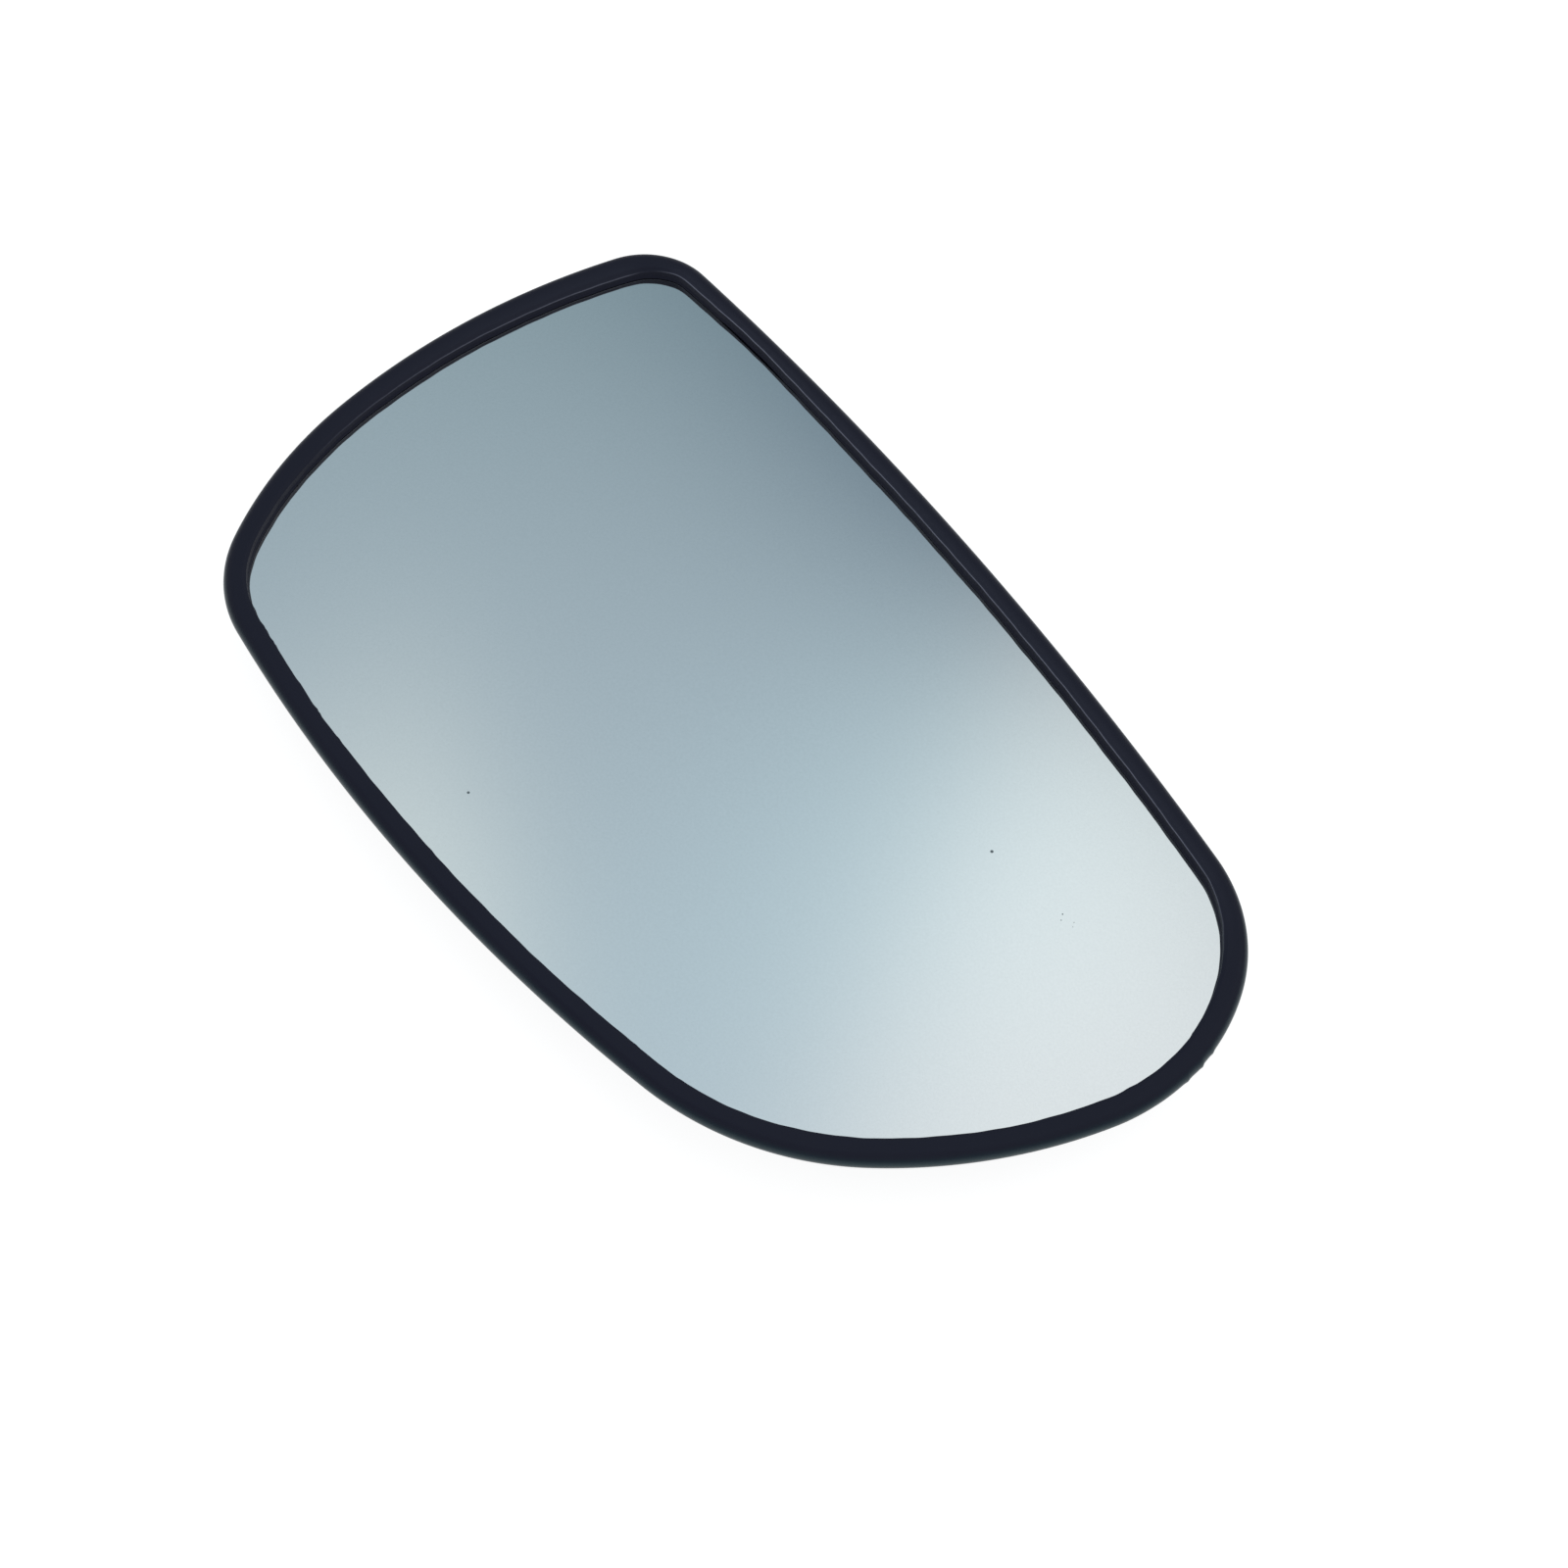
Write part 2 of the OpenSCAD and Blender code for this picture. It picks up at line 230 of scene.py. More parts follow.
# painted highlight along the rim's inner top edge: the width of its band, the side where it is strongest, and
# its shares on the land and the bevel
highlight_band_w = 0.14
highlight_side = np.array([-0.5, 0.85])
highlight_start = 0.2
highlight_run = 0.65
highlight_spared = 0.95
land_highlight = 0.05
bevel_highlight = 0.08
# lean and run of the flank share, which drives a real glossier coat and a painted teal reflection of the
# white table
gloss_and_sheen_lean = 55
gloss_and_sheen_run = 40

# waves: size, count round the rim, phase; flaws: x, y, size, half width
ripples = [(0.030, 23, 0.0), (0.022, 61, 1.0), (0.016, 109, 2.2)]
nicks = [(-45.9, -51.0, 0.15, 0.6), (-38.7, -51.6, 0.13, 0.6), (-61.8, -48.9, 0.15, 0.7),
         (-65.3, -48.3, 0.13, 0.8), (-51.8, -50.3, 0.08, 0.8), (-70.1, -47.3, 0.16, 0.9),
         (-11.6, -52.7, 0.09, 0.8), (37.6, -48.7, 0.10, 0.6), (47.1, -46.9, 0.08, 0.6),
         (90.9, 23.5, 0.08, 0.5), (92.3, 8.3, 0.09, 1.0)]
bends = [(-58.9, 53.8, -0.52, 15.0), (-43.4, -51.6, -0.25, 6.0), (92.0, 20.0, -0.15, 6.0),
         (36.6, -48.8, 0.13, 7.0)]
burrs = [(95.2, 23.7, 0.14, 0.5), (95.9, 20.8, 0.18, 0.4), (96.1, 20.0, 0.09, 1.0), (96.5, 17.3, 0.14, 0.5)]


def flaw_heights(points, flaws):
    """Sum of small bell curves over plan distance: size * exp(-(distance / half width)2) for each flaw."""
    total = np.zeros(len(points))
    for x, y, size, half_width in flaws:
        total += size * np.exp(-((points[:, 0] - x) ** 2 + (points[:, 1] - y) ** 2) / half_width**2)
    return total


def inner_edge_flaws():
    """Unevenness of the rim's inner edge: size * sin(count * turn + phase) for each ripple, with whole
    numbers of waves round the rim, and the bell curves of the nicks and bends."""
    run = np.cumsum(np.linalg.norm(np.roll(place, -1, 0) - place, axis=1))
    turn = 2 * np.pi * run / run[-1]
    wave = sum(size * np.sin(count * turn + phase) for size, count, phase in ripples)
    return wave + flaw_heights(place - normal * rim_w[:, None], nicks + bends)


def rim_skin():
    """Rim, lip, groove and skirt: a rounded section carried round the outline and lifted along the crown.
    A section point is a distance inward from the outline and a height over the face of the glass.
    Also gives two shares at each point: a painted highlight of the inner top edge, strong on the upper side
    and the wide end and weak where the corner between them is diagonal, and the gloss of the flank below the
    bead, which also carries a painted teal reflection."""
    bead_top = rim_h - bead_r
    bead_d = bead_r * (1 - math.cos(flank_lean))
    bead_h = bead_top - bead_r * math.sin(flank_lean)
    foot_d = bead_d + (bead_h + skirt_depth) * math.tan(flank_lean)
    shoulder_d = bead_d + (bead_h - rim_h) * math.tan(flank_lean)
    wall_d = foot_d + skirt_t
    groove = glass_inset - edge_gap
    root_d = wall_d + root_r + overlap
    seat_h = -seat_depth - overlap
    back_h = -back_depth - root_step
    edge_d = rim_w + inner_edge_flaws()
    edge_h = rim_h - bevel_drop
    wall_slope = (edge_h - knee_h) / knee_run
    below = highlight_band_w / np.sqrt(1 + wall_slope**2)
    # each corner: distance inward, height, radius, points on its arc, share of the painted edge highlight
    corners = [
        (shoulder_d, rim_h, bead_r, 14, 0.0),
        (edge_d - bevel_w, rim_h, land_edge_r, 4, land_highlight),
        (edge_d - highlight_band_w, edge_h + highlight_band_w * bevel_drop / bevel_w, 0, 1, bevel_highlight),
        (edge_d, edge_h, top_edge_r, 5, 1.0),
        (edge_d + below, edge_h - below * wall_slope, 0, 1, 0.0),
        (edge_d + knee_run, knee_h, knee_r, 5, 0.0),
        (edge_d + wall_run, lip_gap, lip_edge_r, 3, 0.0),
        (groove, lip_gap, 0, 1, 0.0),
        (groove, seat_h, 0, 1, 0.0),
        (root_d, seat_h, 0, 1, 0.0),
        (root_d, back_h, 0, 1, 0.0),
        (wall_d, back_h, root_r, 6, 0.0),
        (wall_d, -skirt_depth, skirt_edge_r, 5, 0.0),
        (foot_d, -skirt_depth, skirt_edge_r, 5, 0.0),
    ]
    one = np.ones_like(rim_w)
    places = np.stack([np.stack([d * one, h * one], 1) for d, h, _, _, _ in corners], 1)
    steps = [corner[3] for corner in corners]
    section = rounded_section(places, [corner[2] for corner in corners], steps)
    swell = np.exp(-(((section[..., 1] - bead_top) / bead_r) ** 2)) * (section[..., 0] < bead_r)
    section[..., 0] -= flaw_heights(place, burrs)[:, None] * swell
    plan = place[:, None] - normal[:, None] * section[..., :1]
    height = crown(plan[..., 0], plan[..., 1]) + section[..., 1]
    # painted highlight of the inner top edge, strongest where the outline faces away from the camera
    diagonal = np.clip(-2 * normal[:, 0] * normal[:, 1], 0, 1)
    facing = np.clip((normal @ highlight_side - highlight_start) / highlight_run, 0, 1) * (1 - highlight_spared * diagonal**2)
    highlight_share = facing[:, None] * np.repeat([corner[4] for corner in corners], steps)
    gloss_and_sheen = np.zeros_like(highlight_share)
    # flank share: it drives both the coat and the painted teal reflection
    bead_lean = np.linspace(-math.degrees(flank_lean), 90, steps[0])
    gloss_and_sheen[:, :steps[0]] = np.clip((gloss_and_sheen_lean - bead_lean) / gloss_and_sheen_run, 0, 1)
    gloss_and_sheen[:, -steps[-1]:] = 1
    shares = {"painted_edge_highlight": highlight_share.ravel(), "flank_gloss_and_sheen": gloss_and_sheen.ravel()}
    return skin(np.dstack([plan, height]), True, None), shares


def crowned_sheet(inset, near_depth, far_depth, arris, margin, rings):
    """Sheet between two ball surfaces, cut to the outline at a distance inward, with small arrises.
    Rows run from the middle of the front, over the edge, to the middle of the back: evenly spaced
    shares of the outline at the margin, then the line of the arris, then the edge."""
    edge = place - normal * np.asarray(inset)[..., None]
    shares = np.linspace(0, 1, rings + 1)[1:, None, None]
    plans = np.concatenate([(edge - normal * margin)[None] * shares, [edge - normal * arris]])
    front, back = (np.dstack([plans, crown(plans[..., 0], plans[..., 1], depth)])
                   for depth in (near_depth, far_depth))
    sides = [np.dstack([edge[None], crown(edge[:, 0], edge[:, 1], depth)[None, :]])
             for depth in (near_depth + arris, far_depth - arris)]
    return skin(np.concatenate([front, sides[0], sides[1], back[::-1]]), False, "points")


floor_bite = 0.2
floor_arris = 0.01
floor_margin = 2.4
floor_rings = 10

rib_t = 1.5
rib_count = 12
rib_root_h = 6
rib_stations = 48
rib_bite = 0.2
rib_setback = 0.2
rib_end_gap = 2.2
rib_flare = 0.5
flare_steps = 5
stiffener_r = 42
stiffener_h = 2.2
ring_r = 19
ring_wall = 2
ring_fillet = 1.5
ring_fillet_steps = 9
ring_floor_fall = 0.15
turn_steps = 180


def flare():
    """Quarter circle of radius 1 that blends a rib into the floor: (1 - sin(a), 1 - cos(a)) as pairs of
    (out from the rib, up from the floor)."""
    angle = np.linspace(0, np.pi / 2, flare_steps)
    return np.stack([1 - np.sin(angle), 1 - np.cos(angle)], 1)


def radial_rib(degrees, reach):
    """Rib along a direction: its depth falls from the hub to that of the skirt as (1 - s)2, s from 0 to 1.
    The section has straight sides and flares where it meets the floor."""
    r = np.linspace(ring_r + ring_wall - rib_bite, reach, rib_stations)
    s = (r - r[0]) / (r[-1] - r[0])
    floor_z = crown(r, 0 * r, back_depth)
    tip_h = skirt_drop - rib_setback
    foot_z = floor_z - rib_root_h * (1 - s) ** 2 - tip_h * (1 - (1 - s) ** 2)
    blend = flare() * rib_flare
    across = np.concatenate([[-rib_t / 2], -rib_t / 2 - blend[::-1, 0], [-rib_t / 2 - rib_flare],
                             [rib_t / 2 + rib_flare], rib_t / 2 + blend[:, 0], [rib_t / 2]])
    from_floor = np.concatenate([[np.nan], -blend[::-1, 1], [overlap], [overlap], -blend[:, 1], [np.nan]])
    rows = np.where(np.isnan(from_floor), foot_z[:, None], floor_z[:, None] + np.nan_to_num(from_floor))
    a = math.radians(degrees)
    x = r[:, None] * math.cos(a) - across * math.sin(a)
    y = r[:, None] * math.sin(a) + across * math.cos(a)
    return skin(np.dstack([x, y, rows]), False, "faces")


def turned(profile):
    """Closed ring turned from a closed profile of (radius, height) round the axis of the hub:
    (radius * cos(a), radius * sin(a), height)."""
    angle = np.linspace(0, 2 * np.pi, turn_steps, endpoint=False)[:, None]
    radius, height = np.array(profile).T
    x = radius * np.cos(angle)
    y = radius * np.sin(angle)
    return skin(np.dstack([x, y, np.broadcast_to(height, x.shape)]), True, None)


def round_rib(inner, thickness, rib_h):
    """Round rib that stands on the back of the floor: a ring of even height under the crown, turned,
    with a flare along each side of its root."""
    blend = flare() * rib_flare
    outer = inner + thickness
    left = [(inner - out, crown(inner - out, 0.0, back_depth) - up) for out, up in blend]
    right = [(outer + out, crown(outer + out, 0.0, back_depth) - up) for out, up in blend[::-1]]
    foot = [(r, crown(r, 0.0, back_depth + rib_h)) for r in (inner, outer)]
    top = crown(outer, 0.0, back_depth) + overlap
    return turned([(inner - rib_flare, top), *left, *foot, *right, (outer + rib_flare, top)])


def hub_ring():
    """Ring that snaps over the adjuster: wall and flat mouth, turned, with a quarter-round fillet
    (r * (1 - cos(a)), r * sin(a)) at its root outside and a flare inside."""
    swing = np.linspace(0, np.pi / 2, ring_fillet_steps)
    outer = ring_r + ring_wall
    fillet = [(outer + ring_fillet * (1 - math.cos(a)),
               hub_h - ring_fillet + ring_fillet * math.sin(a) - ring_floor_fall) for a in swing]
    inside = [(ring_r - rib_flare * out, hub_h - rib_flare * up) for out, up in flare()]
    top = hub_h + overlap
    return turned([(ring_r - rib_flare, top), *inside, (ring_r, 0), (outer, 0), *fillet,
                   (outer + ring_fillet, top)])


lead_in = 0.5
finger_bite = 0.2
finger_steps = 25
seat_steps = 14
cup_steps = 16
cup_turn_steps = 96
cup_hole_r = 0.5
pivot = {"seat_r": 6.5, "depth": 4.2, "lip_r": 6, "wall": 1.8, "slot": 2, "mouth_z": 1}
rod = {"seat_r": 4.5, "depth": 3.8, "lip_r": 4, "wall": 1.6, "slot": 1.2, "mouth_z": 2}
rod_arm = 32


def socket_skins(centre, seat_r, depth, lip_r, wall, slot, mouth_z):
    """Ball socket: four spring fingers, parted by parallel slots, below a solid crown with the ball's seat,
    whose radius at a height is sqrt(seat radius2 - (height - the ball's)2).
    A finger is the wall's profile swung between asin(half a slot / radius) and its mirror image."""
    ball_z = mouth_z + depth
    slot_z = ball_z + seat_r / 2
    outer = seat_r + wall
    top = hub_h + overlap
    mouth_r = min(outer, lip_r + lead_in + wall / 2)
    lip_z = ball_z - math.sqrt(seat_r**2 - lip_r**2)
    seat = [(math.sqrt(seat_r**2 - (z - ball_z) ** 2), z)
            for z in np.linspace(lip_z, slot_z + finger_bite, seat_steps)]
    profile = [(mouth_r, mouth_z), (lip_r + lead_in, mouth_z), (lip_r, mouth_z + lead_in), *seat,
               (outer, slot_z + finger_bite), (outer, ball_z)]
    radius, height = np.array(profile).T
    limit = np.pi / 4 - np.arcsin(slot / 2 / radius)
    swing = np.linspace(-1, 1, finger_steps)[:, None]
    skins = []
    for quarter in range(1, 5):
        angle = math.radians(90 * quarter) + swing * limit
        x = centre[0] + radius * np.cos(angle)
        y = centre[1] + radius * np.sin(angle)
        skins.append(skin(np.dstack([x, y, np.broadcast_to(height, x.shape)]), False, "faces"))
    polar = np.linspace(0, math.acos((slot_z - ball_z) / seat_r), cup_steps)[1:]
    cup = [(seat_r * math.sin(a), ball_z + seat_r * math.cos(a)) for a in polar]
    rise = hub_h - outer**2 / (2 * crown_r)
    root = [(outer + rib_flare * out, rise - rib_flare * up) for out, up in flare()[::-1]]
    crown_profile = np.array([*cup, (outer, slot_z), *root, (outer + rib_flare, top), (cup_hole_r, top)])
    angle = np.linspace(0, 2 * np.pi, cup_turn_steps, endpoint=False)
    x = centre[0] + crown_profile[:, :1] * np.cos(angle)
    y = centre[1] + crown_profile[:, :1] * np.sin(angle)
    z = np.broadcast_to(crown_profile[:, 1:], x.shape)
    skins.append(skin(np.dstack([x, y, z]), False, "points"))
    return skins


fork_arm = 32
fork_gap = 5
fork_l = 11
fork_setback = 3


def fork_skins(degrees):
    """Two upright cheeks along an arm: rectangles in plan, at distances along and across the arm's
    direction (cos(a), sin(a)), carried from their free edge up into the floor."""
    a = math.radians(degrees)
    along = np.array([math.cos(a), math.sin(a)])
    across = np.array([-math.sin(a), math.cos(a)])
    skins = []
    for side in (-1, 1):
        corners = [(fork_arm + dx * fork_l / 2, side * (fork_gap / 2 + dy * rib_t))
                   for dx, dy in ((-1, 0), (1, 0), (1, 1), (-1, 1))]
        plan = np.array([u * along + v * across for u, v in corners])
        rows = [np.column_stack([plan, np.full(4, z)]) for z in (fork_setback, hub_h)]
        skins.append(skin(np.array(rows), False, "faces"))
    return skins


ejector_r = 2.5
ejector_middle_r = 0.5
ejector_edge = 0.1
ejector_proud = 0.08
ejector_bite = 3
ejector_steps = 40
ejector_ring_r = 30
ejector_places = [(ejector_ring_r * math.cos(math.radians(a)), ejector_ring_r * math.sin(math.radians(a)))
                  for a in (45, 135, 225, 315)]
ejector_places += [(-70, 24), (-66, -26), (62, 26), (62, -22)]


def ejector_mark(centre):
    """Faint round mark that an ejector pin leaves on the back: a disc that stands a little proud of the
    floor and follows it. Each ring is (radius, share of that rise)."""
    angle = np.linspace(0, 2 * np.pi, ejector_steps, endpoint=False)
    rings = ((ejector_middle_r, 1), (ejector_r - ejector_edge, 1), (ejector_r, 0), (ejector_r, -ejector_bite))
    rows = []
    for radius, rise in rings:
        x = centre[0] + radius * np.cos(angle)
        y = centre[1] + radius * np.sin(angle)
        rows.append(np.column_stack([x, y, crown(x, y, back_depth) - ejector_proud * rise]))
    return skin(np.array(rows), False, "points")


class Number:
    """A number that varies over a surface: Python arithmetic on it adds the Math nodes that work it out."""

    def __init__(self, recipe, socket):
        self.recipe = recipe
        self.socket = socket

    def __add__(self, other):
        return self.recipe.maths("ADD", self, other)

    def __sub__(self, other):
        return self.recipe.maths("SUBTRACT", self, other)

    def __rsub__(self, other):
        return self.recipe.maths("SUBTRACT", other, self)

    def __mul__(self, other):
        return self.recipe.maths("MULTIPLY", self, other)

    def __truediv__(self, other):
        return self.recipe.maths("DIVIDE", self, other)

    def __rtruediv__(self, other):
        return self.recipe.maths("DIVIDE", other, self)

    def __pow__(self, other):
        return self.recipe.maths("POWER", self, other)

    __radd__ = __add__
    __rmul__ = __mul__


class Recipe:
    """The node tree of one material, or of the light, with one method that adds a node of any type."""

    def __init__(self, tree):
        self.tree = tree
        self.tree.nodes.clear()

    def node(self, kind, settings=None, sockets=None):
        made = self.tree.nodes.new("ShaderNode" + kind)
        for key, value in (settings or {}).items():
            setattr(made, key, value)
        for key, value in (sockets or {}).items():
            source = value.socket if isinstance(value, Number) else value
            if isinstance(source, bpy.types.NodeSocket):
                self.tree.links.new(source, made.inputs[key])
            else:
                made.inputs[key].default_value = source
        return made

    def number(self, made, output):
        return Number(self, made.outputs[output])

    def maths(self, operation, *values):
        return self.number(self.node("Math", {"operation": operation}, dict(enumerate(values))), 0)

    def colour_mix(self, share, first, second):
        made = self.node("Mix", {"data_type": "RGBA"}, {0: share, 6: first, 7: second})
        return made.outputs[2]

    def object_place(self):
        return self.node("TexCoord").outputs["Object"]

    def mark(self, name):
        return self.number(self.node("Attribute", {"attribute_name": name}), "Fac")

    def grain(self, where, per_mm, detail=3.0):
        sockets = {"Vector": where, "Scale": per_mm / MM, "Detail": detail, "Roughness": 0.6}
        return self.number(self.node("TexNoise", None, sockets), 0)

    def bump(self, height, height_mm, over=None):
        sockets = {"Height": height, "Distance": height_mm * MM, "Strength": 1.0}
        if over is not None:
            sockets["Normal"] = over
        return self.node("Bump", None, sockets).outputs[0]

    def surface(self, **sockets):
        named = {key.replace("_", " "): value for key, value in sockets.items()}
        shader = self.node("BsdfPrincipled", None, named)
        self.node("OutputMaterial", None, {"Surface": shader.outputs[0]})


def new_material(name):
    material = bpy.data.materials.new(name)
    material.use_nodes = True
    return material, Recipe(material.node_tree)


plastic_dark = (0.0138, 0.0136, 0.0275, 1)
plastic_pale = (0.0166, 0.0160, 0.0320, 1)
# teal of the flank: a painted reflection of the white table
flank_sheen_colour = (0.004, 0.028, 0.040, 1)
# pale grey-blue of the painted highlight on the rim's inner top edge
edge_highlight_colour = (0.200, 0.208, 0.270, 1)
plastic_sheen = (0.72, 0.92, 1, 1)


def black_plastic():
    """Black plastic with a faint navy cast, a fine spark-eroded grain and slightly uneven gloss.
    A painted highlight turns its inner top edge grey, broken into streaks a millimetre or two long. The flank
    is glossier, and a painted reflection of the white table tints its colour teal."""
    material, recipe = new_material("black_moulded_plastic")
    where = recipe.object_place()
    cloud = recipe.grain(where, per_mm=0.06)
    grain = recipe.grain(where, per_mm=2.2, detail=4)
    flow = recipe.grain(where, per_mm=0.35)
    # painted highlight: the inner top edge is mixed to pale grey-blue and broken into streaks by noise
    edge_highlight = recipe.mark("painted_edge_highlight") * (0.55 + 0.9 * recipe.grain(where, per_mm=0.9, detail=4))
    gloss_and_sheen = recipe.mark("flank_gloss_and_sheen")
    colour = recipe.colour_mix(cloud, plastic_dark, plastic_pale)
    # painted reflection: the flank's colour is mixed towards teal
    colour = recipe.colour_mix(gloss_and_sheen, colour, flank_sheen_colour)
    colour = recipe.colour_mix(edge_highlight, colour, edge_highlight_colour)
    rough_skin = recipe.bump(grain, height_mm=0.012)
    recipe.surface(Base_Color=colour, Roughness=0.40 + 0.10 * flow + 0.06 * cloud,
                   Specular_IOR_Level=0.19, Specular_Tint=plastic_sheen,
                   Coat_Weight=0.4 * gloss_and_sheen, Coat_Roughness=0.25,
                   Normal=recipe.bump(flow, height_mm=0.02, over=rough_skin))
    return material


plastic = black_plastic()
rim_shell, rim_marks = rim_skin()
rim = moulded_mesh("holder_rim", [rim_shell], plastic, marks=rim_marks)

reach_line = place - normal * (bead_r + skirt_t + rib_end_gap)
reach_angle = np.degrees(np.arctan2(reach_line[:, 1], reach_line[:, 0]))
reach_order = np.argsort(reach_angle)
reach_r = np.linalg.norm(reach_line, axis=1)[reach_order]

floor_inset = glass_inset - edge_gap - floor_bite
back_skins = [crowned_sheet(floor_inset, seat_depth, back_depth, floor_arris, floor_margin, floor_rings)]
for k in range(rib_count):
    rib_angle = 360 * (k + 0.5) / rib_count
    wrapped = (rib_angle + 180) % 360 - 180
    rib_reach = np.interp(wrapped, reach_angle[reach_order], reach_r, period=360)
    back_skins.append(radial_rib(rib_angle, rib_reach))
back_skins.append(round_rib(stiffener_r, rib_t, stiffener_h))
back_skins.append(hub_ring())
back_skins += socket_skins((0, 0), **pivot)
back_skins += socket_skins((rod_arm, 0), **rod)
back_skins += socket_skins((0, -rod_arm), **rod)
back_skins += fork_skins(180) + fork_skins(90)
back_skins += [ejector_mark(centre) for centre in ejector_places]
back = moulded_mesh("holder_back", back_skins, plastic, edge_radius=0.2)

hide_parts("backing_plate")
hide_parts("backing_plate")
for piece in (rim, back):
    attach(piece, "root")

# Adhesive pad
# A die-cut sheet of black closed-cell foam, sticky on both faces, pressed on the floor of the
# holder. The glass hides it.

foam_dark = (0.016, 0.016, 0.018, 1)
foam_pale = (0.030, 0.030, 0.032, 1)
foam_cell = 0.5


def foam():
    """Dark foam with closed cells about half a millimetre wide and a dull skin."""
    material, recipe = new_material("closed_cell_foam")
    where = recipe.object_place()
    cells = recipe.node("TexVoronoi", None, {"Vector": where, "Scale": 1 / (foam_cell * MM)})
    cloud = recipe.grain(where, per_mm=0.3)
    recipe.surface(Base_Color=recipe.colour_mix(cloud, foam_dark, foam_pale), Roughness=0.85 + 0.1 * cloud,
                   Normal=recipe.bump(recipe.number(cells, "Distance"), height_mm=0.1))
    return material


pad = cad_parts["adhesive_pad"]
pad.data.materials.clear()
pad.data.materials.append(foam())

# Mirror glass
# A convex sheet of glass, cut to the outline, its edge ground, with the chrome coat on its face.
# It lies on the pad, and the lip of the rim laps over its edge.

glass_arris = 0.15
glass_margin = 1.2
glass_rings = 28
chrome_dark = (0.760, 0.780, 0.790, 1)
chrome_pale = (0.840, 0.860, 0.870, 1)
dust_colour = (0.16, 0.20, 0.22, 1)
specks = [(-17.5, -40.9, 0.25), (45.4, 19.3, 0.28), (61.4, 20.9, 0.13), (62.1, 20.0, 0.10),
          (63.7, 21.4, 0.08), (64.2, 20.7, 0.07)]


def chromed_glass():
    """Chrome on glass: a clear mirror with a trace of haze, and the few specks of dust of the real one.
    A speck is where the distance from its middle is less than its radius."""
    material, recipe = new_material("chromed_glass")
    where = recipe.object_place()
    haze = recipe.grain(where, per_mm=0.02)
    mottle = recipe.grain(where, per_mm=2.2)
    coat = recipe.colour_mix(mottle, chrome_dark, chrome_pale)
    dust = 0.0
    for x, y, radius in specks:
        middle = (x * MM, y * MM, float(crown(x, y)) * MM)
        away = recipe.node("VectorMath", {"operation": "DISTANCE"}, {0: where, 1: middle})
        dust = dust + recipe.maths("LESS_THAN", recipe.number(away, "Value"), radius * MM)
    dust = recipe.maths("MINIMUM", dust, 1.0)
    recipe.surface(Base_Color=recipe.colour_mix(dust, coat, dust_colour), Metallic=1 - 0.9 * dust,
                   Roughness=0.03 + 0.03 * haze + 0.5 * dust)
    return material


glass_skin = crowned_sheet(glass_inset, 0, glass_t, glass_arris, glass_margin, glass_rings)
glass = moulded_mesh("mirror_glass_sheet", [glass_skin], chromed_glass(), smooth_below=20)
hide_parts("mirror_glass")
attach(glass, "root")

# Table, studio light and camera
# A white table and a pale room with a grey-blue ceiling, whose soft white sheets the convex
# glass mirrors. The camera looks down on the part from the side of its long lower edge.

table_half = 6.0
table_drop = 0.00005
table_bounce = (0.45, 0.45, 0.45, 1)
table_glow = 0.87
white = (1, 1, 1, 1)


def white_table():
    """White table: it bounces light as matt paint, shows white to the camera, in gloss and through glass,
    and keeps the part's shadow."""
    material, recipe = new_material("white_table")
    path = recipe.node("LightPath")
    seen = sum(recipe.number(path, f"Is {kind} Ray") for kind in ("Camera", "Glossy", "Transmission"))
    seen = recipe.maths("MINIMUM", seen, 1.0)
    matt = recipe.node("BsdfDiffuse", None, {"Color": table_bounce})
    glow = recipe.node("Emission", None, {"Color": white, "Strength": seen * table_glow})
    both = recipe.node("AddShader", None, {0: matt.outputs[0], 1: glow.outputs[0]})
    recipe.node("OutputMaterial", None, {"Surface": both.outputs[0]})
    return material


table_corners = [(side_x * table_half, side_y * table_half, -table_drop)
                 for side_x, side_y in ((-1, -1), (1, -1), (1, 1), (-1, 1))]
table_mesh = bpy.data.meshes.new("table")
table_mesh.from_pydata(table_corners, [], [(0, 1, 2, 3)])
table_mesh.materials.append(white_table())
table = bpy.data.objects.new("table", table_mesh)
bpy.context.scene.collection.objects.link(table)

camera_side = (0.78, -0.63)
lowest_rise = 0.12
room_colour = {0: 0.94, 1: 0.96, 2: 0.98}
patch_dims = 0.85
behind_dims = 0.35
wall_ahead = 0.3
wall_behind = 0.35


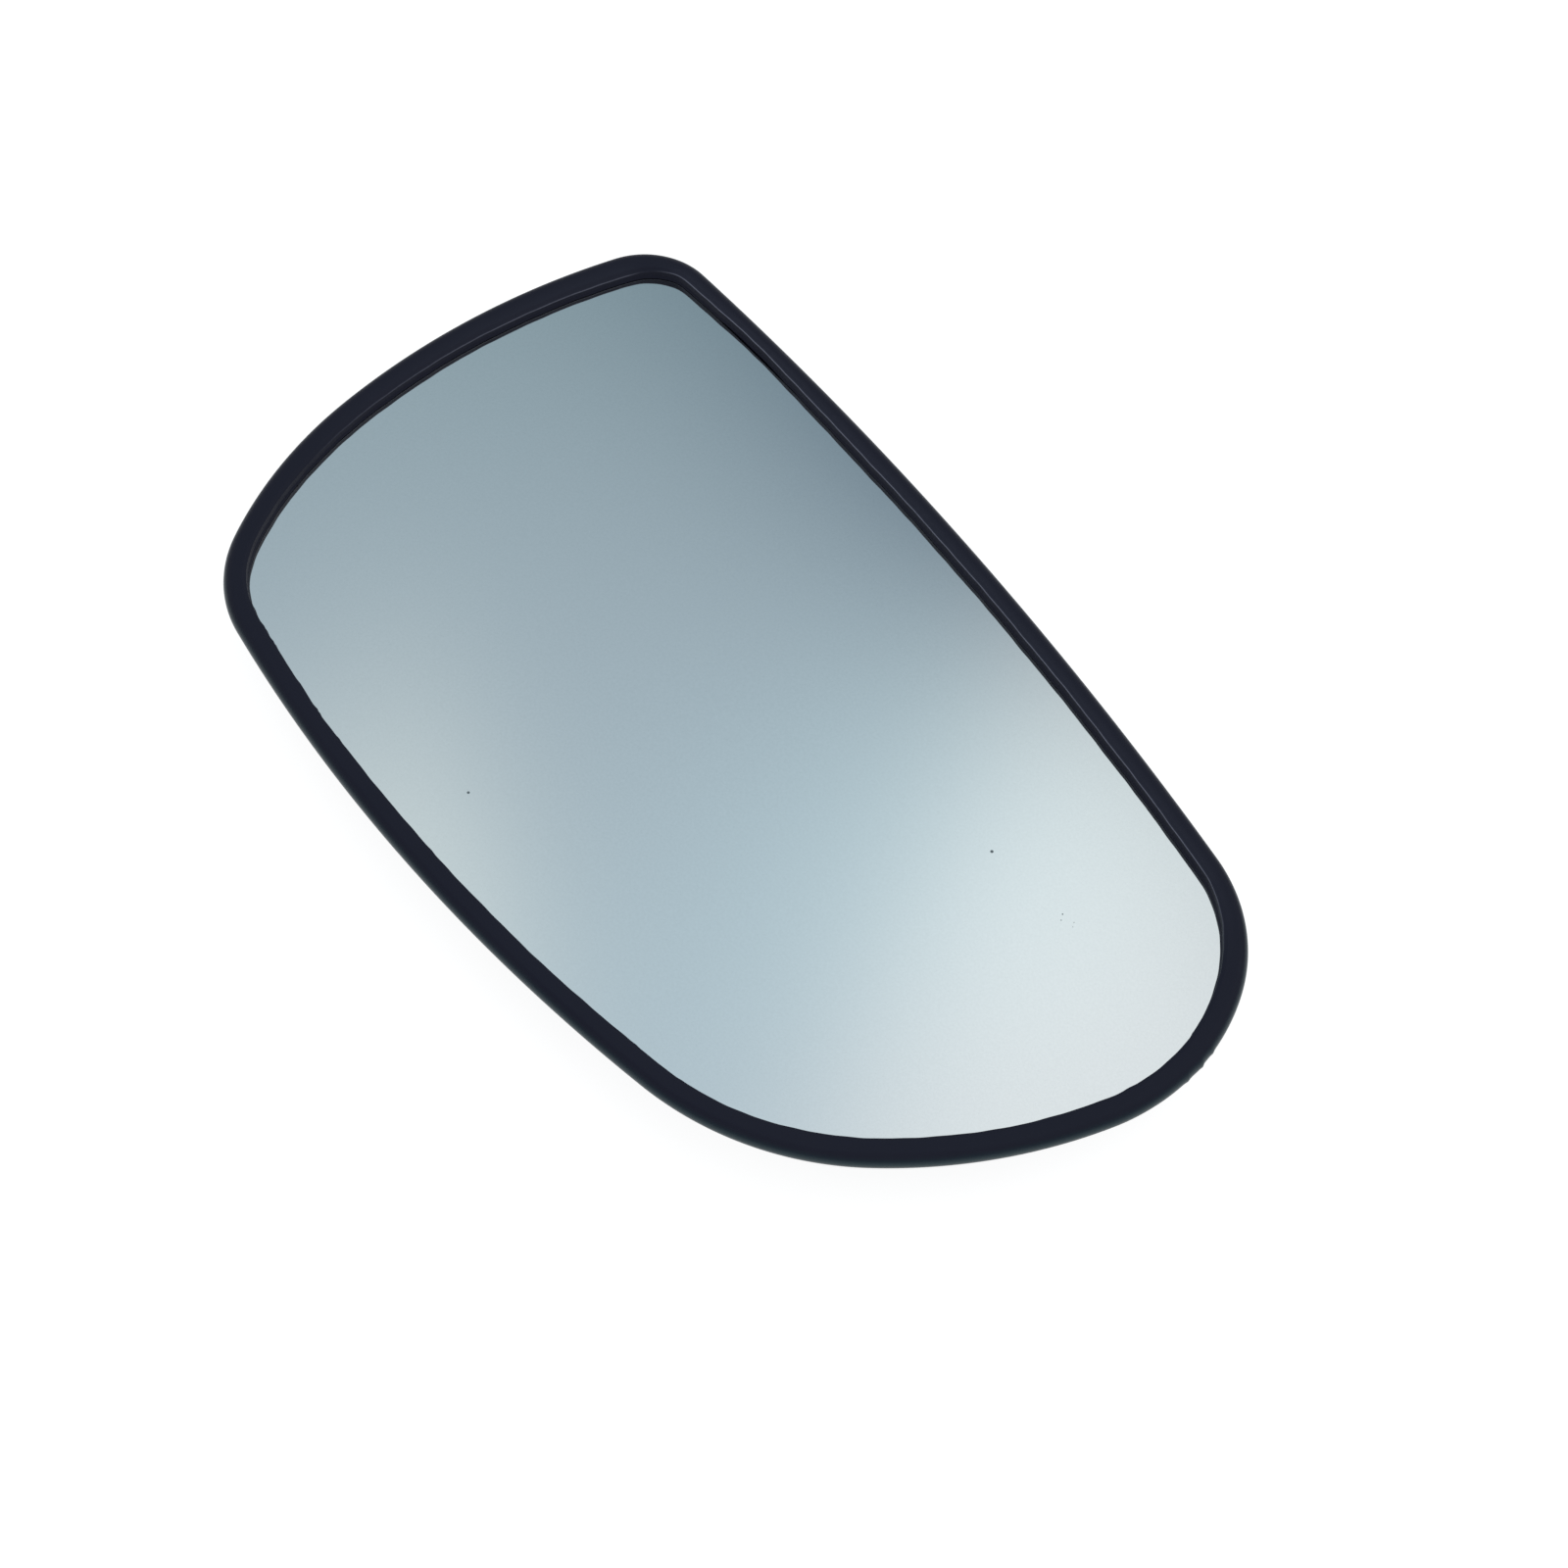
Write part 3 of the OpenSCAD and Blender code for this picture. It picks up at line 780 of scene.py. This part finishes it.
def room_light():
    """Light of the room by direction: (u, v) is where a direction meets a ceiling one unit up.
    A pale room, less two grey-blue falls of light with soft tanh edges, less a dim corner, plus two soft
    sheets, each a bell exp(-square). They fade as 1 / (1 + distance6) away from the part of the ceiling
    that the glass mirrors. The half of the room behind the camera is dimmer, with a dark patch overhead.
    So are the walls low down, most of all those ahead. The camera sees plain white past the table."""
    world = bpy.data.worlds.new("room")
    world.use_nodes = True
    bpy.context.scene.world = world
    recipe = Recipe(world.node_tree)
    split = recipe.node("SeparateXYZ", None, {0: recipe.node("TexCoord").outputs["Generated"]})
    x, y, z = (recipe.number(split, axis) for axis in "XYZ")
    rise = recipe.maths("MAXIMUM", z, lowest_rise)
    u = x / rise
    v = y / rise

    def one_side(across):
        return 0.5 - 0.5 * recipe.maths("TANH", across)

    def soft_edge(degrees, offset, width):
        a = math.radians(degrees)
        return one_side((u * math.cos(a) + v * math.sin(a) - offset) / width)

    def spot(u0, v0, su, sv):
        square = ((u - u0) / su) ** 2 + ((v - v0) / sv) ** 2
        return recipe.maths("EXPONENT", 0 - square)

    def smooth_step(value, first, last):
        sockets = {"Value": value, "From Min": first, "From Max": last}
        return recipe.number(recipe.node("MapRange", {"interpolation_type": "SMOOTHSTEP"}, sockets), 0)

    narrow_fall = soft_edge(32.4, offset=-0.083, width=0.056)
    wide_fall = soft_edge(-40.5, offset=-1.117, width=0.775)
    cool_sheet = spot(-0.338, 0.5, 0.138, 0.274)
    dim_corner = spot(-0.216, 0.689, 0.474, 0.155)
    warm_edge = one_side((v - 0.262 + 0.5 * (u + 0.55)) / 0.049)
    warm_band = recipe.maths("EXPONENT", 0 - ((u + 0.476) / 0.165) ** 2)
    parts = [
        (narrow_fall, (-0.386, -0.315, -0.261)),
        (wide_fall, (-0.570, -0.552, -0.620)),
        (cool_sheet, (0.101, 0.166, 0.167)),
        (dim_corner, (-0.536, -0.620, -0.607)),
        (warm_edge * warm_band, (0.283, 0.268, 0.209)),
    ]
    around = ((u + 0.5) / 1.1) ** 2 + ((v - 0.4) / 1.1) ** 2
    near = 1 / (1 + around**3)
    total = recipe.node("CombineXYZ", None, room_colour).outputs[0]
    for amount, tint in parts:
        scaled = recipe.node("VectorMath", {"operation": "SCALE"}, {0: tint, "Scale": amount * near})
        total = recipe.node("VectorMath", {"operation": "ADD"}, {0: total, 1: scaled.outputs[0]}).outputs[0]

    behind = smooth_step(x * camera_side[0] + y * camera_side[1], -0.22, 0.12)
    high = smooth_step(z, 0.15, 0.62)
    patch = spot(-0.47, -0.45, 0.6, 0.28)
    low = wall_ahead + wall_behind * behind
    strength = (1 - behind_dims * behind) * (low + (1 - low) * high) * (1 - patch_dims * patch)
    seen = recipe.number(recipe.node("LightPath"), "Is Camera Ray")
    light = recipe.node("Background", None, {"Color": recipe.colour_mix(seen, total, white),
                                             "Strength": seen + (1 - seen) * strength})
    recipe.node("OutputWorld", None, {"Surface": light.outputs[0]})


room_light()

photo_px = 1600
focal_px = 4662.6
sensor_mm = 36
view_azimuth = math.radians(51.12)
view_elevation = math.radians(59)
aim = np.array([15.25, -0.23, 18.6])
aim_distance = 753.6

ahead = np.array([-math.sin(view_azimuth) * math.cos(view_elevation),
                  math.cos(view_azimuth) * math.cos(view_elevation), -math.sin(view_elevation)])
lens = bpy.data.cameras.new("camera")
lens.sensor_fit = "HORIZONTAL"
lens.sensor_width = sensor_mm
lens.lens = sensor_mm * focal_px / photo_px
lens.clip_start = 0.01
lens.clip_end = 50
camera = bpy.data.objects.new("camera", lens)
camera.location = (aim - ahead * aim_distance) * MM
camera.rotation_euler = (math.pi / 2 - view_elevation, 0, view_azimuth)
bpy.context.scene.collection.objects.link(camera)
bpy.context.scene.camera = camera

bpy.context.scene.view_settings.view_transform = "Standard"

bpy.context.view_layer.update()
